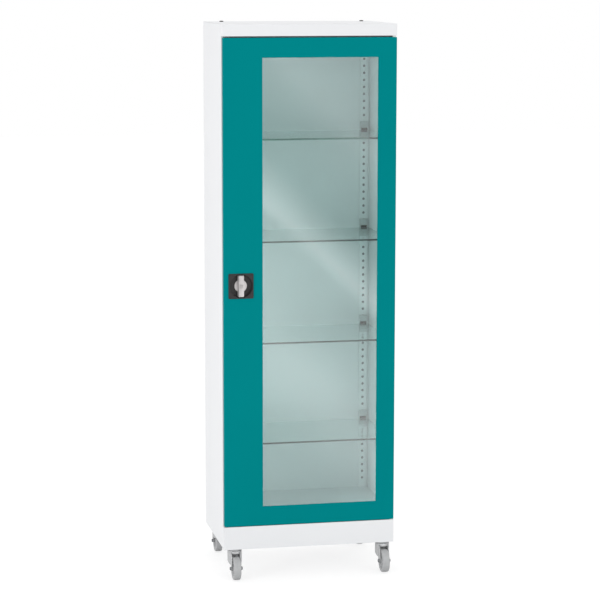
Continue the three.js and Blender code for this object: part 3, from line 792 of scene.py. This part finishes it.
def top_cap(side):
    """A round cap with a crowned top, on a stem through the top panel."""
    node = f"{side}_top_cap"
    low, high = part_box(node)
    centre = (low + high) / 2
    radius = (high.x - low.x) / 2
    stem = radius * CAP_STEM_SHARE
    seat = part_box("top_panel")[1].z + FIT
    profile = rounded([(0, low.z, 0), (stem, low.z, CAP_STEM_EDGE), (stem, seat, 0), (radius, seat, EDGE),
                       (radius, high.z, CAP_CROWN), (0, high.z, 0)], steps=5, closed=False)
    shape = turned(profile[1:-1], (centre.x, centre.y, 0), "z", SMALL_ROUND)
    piece(f"{node}_finish", shape, "black_plastic", "cabinet", node)


for side, _ in SIDES:
    top_cap(side)
for end in ("upper", "lower"):
    broken_edges(f"{end}_hinge_bush", "white_nylon", "door")
broken_edges("upper_hinge_pin", "dark_steel", "cabinet")


# Casters

def hexagon(radius, x, centre):
    """Six corners round an axis along X."""
    angles = [math.radians(60 * k) for k in range(6)]
    return [(centre.x + x, centre.y + radius * math.cos(a), centre.z + radius * math.sin(a)) for a in angles]


def wheel_rib(centre, half, angle):
    """A spoke between hub and rim, turned round the axle by this angle."""
    end = half - RIB_INSET
    rib = rounded_block((-end, RIB_FROM, -RIB_HALF), (end, RIB_TO, RIB_HALF), RIB_EDGE)
    for vertex in rib.verts:
        x, reach, side = vertex.co
        vertex.co = centre + Vector((x, reach * math.cos(angle) - side * math.sin(angle),
                                     reach * math.sin(angle) + side * math.cos(angle)))
    return rib


def caster_wheel(corner):
    """A tyre with a low crown, on a ribbed hub."""
    node = f"caster_wheel_{corner}"
    low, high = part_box(node)
    centre = (low + high) / 2
    radius = (high.z - low.z) / 2
    half = (high.x - low.x) / 2
    body = f"wheel_{corner}"
    bead = half - BEAD_INSET
    shoulder = radius - TYRE_DROP
    tyre = rounded([(WHEEL_BEAD, -bead, BEAD_TURN), (shoulder, -half, TYRE_SHOULDER), (radius, 0, TYRE_CROWN),
                    (shoulder, half, TYRE_SHOULDER), (WHEEL_BEAD, bead, BEAD_TURN)], steps=6)
    piece(f"{node}_tyre", turned(tyre, centre, "x", closed=True), "grey_tyre", body, node)
    flank = [(r, half - behind, turn) for r, behind, turn in WHEEL_FLANK]
    far_flank = [(r, -x, turn) for r, x, turn in flank[::-1]]
    shapes = [turned(rounded(flank + far_flank), centre, "x", closed=True)]
    shapes += [wheel_rib(centre, half, 2 * math.pi * (k + 0.5) / RIBS) for k in range(RIBS)]
    piece(f"{node}_hub", merge(shapes), "grey_tyre", body)


def fork_crown(swivel, top):
    """A round plate with a hole for the head's neck."""
    low = top - CROWN_HEIGHT
    profile = rounded([(NECK_HOLE, low, CROWN_EDGE), (CROWN_RADIUS, low, CROWN_FOOT),
                       (CROWN_RADIUS, top, CROWN_TURN), (NECK_HOLE, top, CROWN_EDGE)], steps=5)
    return turned(profile, (swivel.x, swivel.y, 0), "z", closed=True)


def fork_eye(trail, level):
    """The round end of a leg, as (reach, height, turn) corners from its front round below."""
    angles = [-EYE_SWEEP * k / SMALL_ROUND for k in range(SMALL_ROUND + 1)]
    return [(trail + EYE_RADIUS * math.cos(a), level + EYE_RADIUS * math.sin(a), 0) for a in angles]


def fork_leg(line, side, swivel, away):
    """A flat plate with this outline, on one side of the wheel."""
    middle = sum(line, Vector((0, 0))) / len(line)
    rings = []
    for depth, size in LEG_LAYERS:
        x = swivel.x + side * (LEG_INNER + depth)
        ring = [middle + (p - middle) * size for p in line]
        rings.append([(x, swivel.y + away * p.x, p.y) for p in ring])
    return loft(rings)


def fork_skirt(swivel, away, top, low, slant):
    """A sheet bent round below the crown, open where the wheel trails and lower towards there."""
    inside = CROWN_RADIUS - FORK_SHEET
    inner_edge, outer_edge = SKIRT_EDGES
    rings = []
    for k in range(ROUND + 1):
        angle = math.pi / 2 + (math.pi / 2 + SKIRT_REACH) * (2 * k / ROUND - 1)
        forward = max(-CROWN_RADIUS * math.sin(angle), 0)
        bottom = low - slant * forward
        section = rounded([(inside, bottom, inner_edge), (CROWN_RADIUS, bottom, outer_edge),
                           (CROWN_RADIUS, top, 0), (inside, top, 0)], steps=3)
        across, along = math.cos(angle), -away * math.sin(angle)
        rings.append([(swivel.x + r * across, swivel.y + r * along, z) for r, z in section])
    return loft(rings)


def caster_fork(corner):
    """A round crown, a skirt open where the wheel trails, and a leg on each side down to the axle."""
    node = f"caster_fork_{corner}"
    head_low, head_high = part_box(f"caster_head_{corner}")
    swivel = (head_low + head_high) / 2
    wheel_low, wheel_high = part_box(f"caster_wheel_{corner}")
    axle = (wheel_low + wheel_high) / 2
    away = 1 if axle.y > swivel.y else -1
    trail = abs(axle.y - swivel.y)
    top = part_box(node)[1].z
    leg_top = top - LEG_SUNK
    crown_low = top - CROWN_HEIGHT
    skirt_low = crown_low - SKIRT_DROP
    eye = fork_eye(trail, axle.z)
    line = rounded([(0, skirt_low, LEG_BACK_TURN), (-LEG_HALF, skirt_low, LEG_HEEL_TURN),
                    (-LEG_HALF, leg_top, 0), (LEG_HALF, leg_top, 0),
                    (LEG_HALF + LEG_REACH, crown_low - LEG_TOP, LEG_TURN),
                    (trail + EYE_RADIUS - KNEE_INSET, crown_low - LEG_KNEE, KNEE_TURN), *eye], steps=5)
    eye_reach, eye_level, _ = eye[-1]
    slant = (skirt_low - eye_level) / eye_reach
    shapes = [fork_crown(swivel, top)]
    shapes += [fork_leg(line, side, swivel, away) for _, side in SIDES]
    shapes.append(fork_skirt(swivel, away, crown_low + LEG_SUNK, skirt_low, slant))
    piece(f"{node}_finish", merge(shapes), "pressed_steel", f"fork_{corner}", node)


def caster_head(corner):
    """The fixed half of the swivel: a cup under the base, a neck through the crown and a riveted foot."""
    node = f"caster_head_{corner}"
    low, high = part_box(node)
    centre = (low + high) / 2
    radius = (high.x - low.x) / 2
    fork_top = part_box(f"caster_fork_{corner}")[1].z
    foot_top = fork_top - CROWN_HEIGHT - FIT
    cup_low = fork_top + FIT
    groove = (cup_low + high.z) / 2
    profile = rounded([(0, low.z, 0), (RIVET_FOOT, low.z, HEAD_TURN), (RIVET_FOOT, foot_top, EDGE),
                       (NECK_RADIUS, foot_top, 0), (NECK_RADIUS, cup_low, 0), (radius, cup_low, HEAD_TURN),
                       (radius, groove - HEAD_GROOVE, GROOVE_TURN),
                       (radius - HEAD_GROOVE, groove, GROOVE_TURN),
                       (radius, groove + HEAD_GROOVE, GROOVE_TURN), (radius, high.z, HEAD_TOP_TURN),
                       (0, high.z, 0)], closed=False)
    shape = turned(profile[1:-1], (centre.x, centre.y, 0), "z")
    piece(f"{node}_finish", shape, "pressed_steel", "cabinet", node)


def caster_axle(corner):
    """A hexagon bolt with washers and a lock nut."""
    node = f"caster_axle_{corner}"
    low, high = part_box(node)
    centre = (low + high) / 2
    half = (high.x - low.x) / 2
    leg = LEG_INNER + FORK_SHEET
    seat = leg + WASHER_GAP
    rim = AXLE_HEAD + WASHER_RIM
    arris_depth, arris_inset = NUT_ARRIS
    nut = ((AXLE_HEAD, seat + WASHER), (AXLE_HEAD, half - arris_depth), (AXLE_HEAD - arris_inset, half))
    shapes = [turned([(AXLE_RADIUS, -leg - WASHER), (AXLE_RADIUS, leg + WASHER)], centre, "x", SMALL_ROUND)]
    for _, side in SIDES:
        near, far = side * seat, side * (seat + WASHER)
        washer = rounded([(AXLE_RADIUS, near, 0), (rim, near, EDGE), (rim, far, EDGE), (AXLE_RADIUS, far, 0)],
                         steps=3)
        shapes.append(turned(washer, centre, "x", SMALL_ROUND, closed=True))
        shapes.append(loft([hexagon(radius, side * x, centre) for radius, x in nut]))
    piece(f"{node}_finish", merge(shapes), "dark_steel", f"fork_{corner}", node)


for corner in CORNERS:
    caster_head(corner)
    caster_fork(corner)
    caster_wheel(corner)
    caster_axle(corner)


# Small fasteners

def dome(centre, radius, height):
    """A low rounded head on a face that looks to +Y."""
    profile = [(radius * wide, height * tall) for wide, tall in DOME]
    return turned(profile, centre, "y", SMALL_ROUND)


def rear_rivets():
    """A row of rivet heads down each rear flange."""
    for side, sign in SIDES:
        low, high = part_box(f"{side}_side_panel")
        x = sign * (max(abs(low.x), abs(high.x)) - RIVET_INSET)
        step = (high.z - low.z) / RIVETS
        levels = [low.z + step * (i + 0.5) for i in range(RIVETS)]
        heads = [dome((x, high.y, z), RIVET_RADIUS, RIVET_HEIGHT) for z in levels]
        piece(f"rear_rivets_{side}", merge(heads), "white_paint", "cabinet")


def glazing_screws():
    """Screw heads all round the glazing frame."""
    low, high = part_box("glazing_frame")
    xs = (low.x + SCREW_INSET, high.x - SCREW_INSET)
    zs = (low.z + SCREW_INSET, high.z - SCREW_INSET)
    spots = []
    for x in xs:
        count = round((zs[1] - zs[0]) / SCREW_PITCH)
        spots += [(x, zs[0] + (zs[1] - zs[0]) * k / count) for k in range(count + 1)]
    for z in zs:
        count = round((xs[1] - xs[0]) / SCREW_PITCH)
        spots += [(xs[0] + (xs[1] - xs[0]) * k / count, z) for k in range(1, count)]
    heads = [dome((x, high.y, z), SCREW_RADIUS, SCREW_HEIGHT) for x, z in spots]
    piece("glazing_screws", merge(heads), "zinc", "door")


rear_rivets()
glazing_screws()


# Stage, light and camera

WHITE = (1, 1, 1, 1)
WORLD_STRENGTH = 0.75
FLOOR_HALF = 20.0
FLOOR_GREY = (0.82, 0.82, 0.82, 1)
FLOOR_SHOWN = (0.4, 0.4, 0.4, 1)
FLOOR_GLOW = 0.72
LAMPS = (
    # name, place, size, power
    ("key", (-5.0, -3.2, 1.3), 2.4, 100.0),
    ("fill", (3.2, -4.8, 1.2), 2.2, 34.5),
    ("top", (0.3, 0.6, 4.6), 2.4, 14.0),
)
AIM = Vector((0, 0, 1.0))

# A card that only shows as a reflection in the door's glass: bands of light across a slanted direction,
# each with its place along that direction and its brightness
CARD_PLACE = (0.0243, -1.2, 1.2158)
CARD_ACROSS = (-0.7046, 0.0, -0.7430)
CARD_LOW, CARD_HIGH = (-0.0215, -1.211), (0.478, 0.566)
CARD_FROM, CARD_TO = -0.70, 1.00
CARD_STRENGTH = 4.9
CARD_BANDS = ((-0.64, 2.4), (-0.44, 3.0), (-0.36, 1.6), (-0.27, 0.8), (-0.14, 0.4), (-0.08, 1.9), (0.0, 4.9),
              (0.05, 2.8), (0.09, 2.7), (0.24, 3.3), (0.38, 4.8), (0.46, 4.6), (0.60, 3.1), (0.70, 2.5),
              (0.87, 2.5))


def seen_directly(tree):
    """1 for rays that show the background itself: from the camera, from gloss and through glass."""
    path = add_node(tree, "LightPath", {})
    total = path.outputs["Is Camera Ray"]
    for name in ("Is Glossy Ray", "Is Transmission Ray"):
        more = add_node(tree, "Math", {0: total, 1: path.outputs[name]})
        more.operation = "MAXIMUM"
        total = more.outputs["Value"]
    return total


def white_world():
    """White where it is seen, and a little weaker as light."""
    world = bpy.data.worlds.new("studio")
    bpy.context.scene.world = world
    world.use_nodes = True
    tree = world.node_tree
    tree.nodes.clear()
    soft = add_node(tree, "Background", {"Color": WHITE, "Strength": WORLD_STRENGTH})
    plain = add_node(tree, "Background", {"Color": WHITE, "Strength": 1.0})
    mix = add_node(tree, "MixShader", {0: seen_directly(tree), 1: soft.outputs[0], 2: plain.outputs[0]})
    output = tree.nodes.new("ShaderNodeOutputWorld")
    tree.links.new(mix.outputs[0], output.inputs["Surface"])


def shaderless_sheet(name, corners):
    """A single face with a material that has no shader yet, as (object, node tree)."""
    mesh = bpy.data.meshes.new(name)
    mesh.from_pydata(corners, [], [(0, 1, 2, 3)])
    material, tree, shader = new_material(name)
    tree.nodes.remove(shader)
    mesh.materials.append(material)
    return add_object(name, mesh), tree


def white_floor():
    """A floor that glows where it is seen, so that only a faint shadow shows on it."""
    half = FLOOR_HALF
    corners = [(-half, -half, 0), (half, -half, 0), (half, half, 0), (-half, half, 0)]
    floor, tree = shaderless_sheet("floor", corners)
    plain = add_node(tree, "BsdfDiffuse", {"Color": FLOOR_GREY})
    pale = add_node(tree, "BsdfDiffuse", {"Color": FLOOR_SHOWN})
    lit = add_node(tree, "Emission", {"Color": WHITE, "Strength": FLOOR_GLOW})
    shown = add_node(tree, "AddShader", {0: pale.outputs[0], 1: lit.outputs[0]})
    mix = add_node(tree, "MixShader", {0: seen_directly(tree), 1: plain.outputs[0], 2: shown.outputs[0]})
    tree.links.new(mix.outputs[0], tree.nodes["Material Output"].inputs["Surface"])


def reflection_card():
    """The card of light bands, hidden from all but glossy rays."""
    (x0, z0), (x1, z1) = CARD_LOW, CARD_HIGH
    corners = [(x0, 0, z0), (x1, 0, z0), (x1, 0, z1), (x0, 0, z1)]
    card, tree = shaderless_sheet("reflection_card", corners)
    card.location = CARD_PLACE
    place = add_node(tree, "TexCoord", {}).outputs["Object"]
    reach = add_node(tree, "VectorMath", {0: place, 1: CARD_ACROSS})
    reach.operation = "DOT_PRODUCT"
    share = remapped(tree, reach.outputs["Value"], (CARD_FROM, CARD_TO))
    span = CARD_TO - CARD_FROM
    stops = [((spot - CARD_FROM) / span, [level / CARD_STRENGTH] * 3) for spot, level in CARD_BANDS]
    bands = colour_ramp(tree, share, stops)
    light = add_node(tree, "Emission", {"Color": bands, "Strength": CARD_STRENGTH})
    tree.links.new(light.outputs[0], tree.nodes["Material Output"].inputs["Surface"])
    card.visible_camera = False
    card.visible_diffuse = False
    card.visible_transmission = False
    card.visible_volume_scatter = False
    card.visible_shadow = False


def soft_lamp(name, place, size, power):
    """A square lamp turned to the middle of the cabinet."""
    data = bpy.data.lights.new(name, "AREA")
    data.shape = "SQUARE"
    data.size = size
    data.energy = power
    lamp = add_object(name, data)
    lamp.location = place
    lamp.rotation_euler = (AIM - Vector(place)).to_track_quat("-Z", "Y").to_euler()


def camera():
    """The photograph's camera."""
    data = bpy.data.cameras.new("camera")
    data.lens = CAMERA_LENS
    data.sensor_width = CAMERA_SENSOR
    item = add_object("camera", data)
    item.location = CAMERA_PLACE
    aim = Euler((math.pi / 2 - CAMERA_DOWN, 0, -CAMERA_RIGHT)).to_matrix()
    item.rotation_euler = (aim @ Matrix.Rotation(CAMERA_ROLL, 3, "Z")).to_euler()
    bpy.context.scene.camera = item


white_world()
white_floor()
reflection_card()
for lamp in LAMPS:
    soft_lamp(*lamp)
camera()
bpy.context.scene.view_settings.view_transform = "Standard"
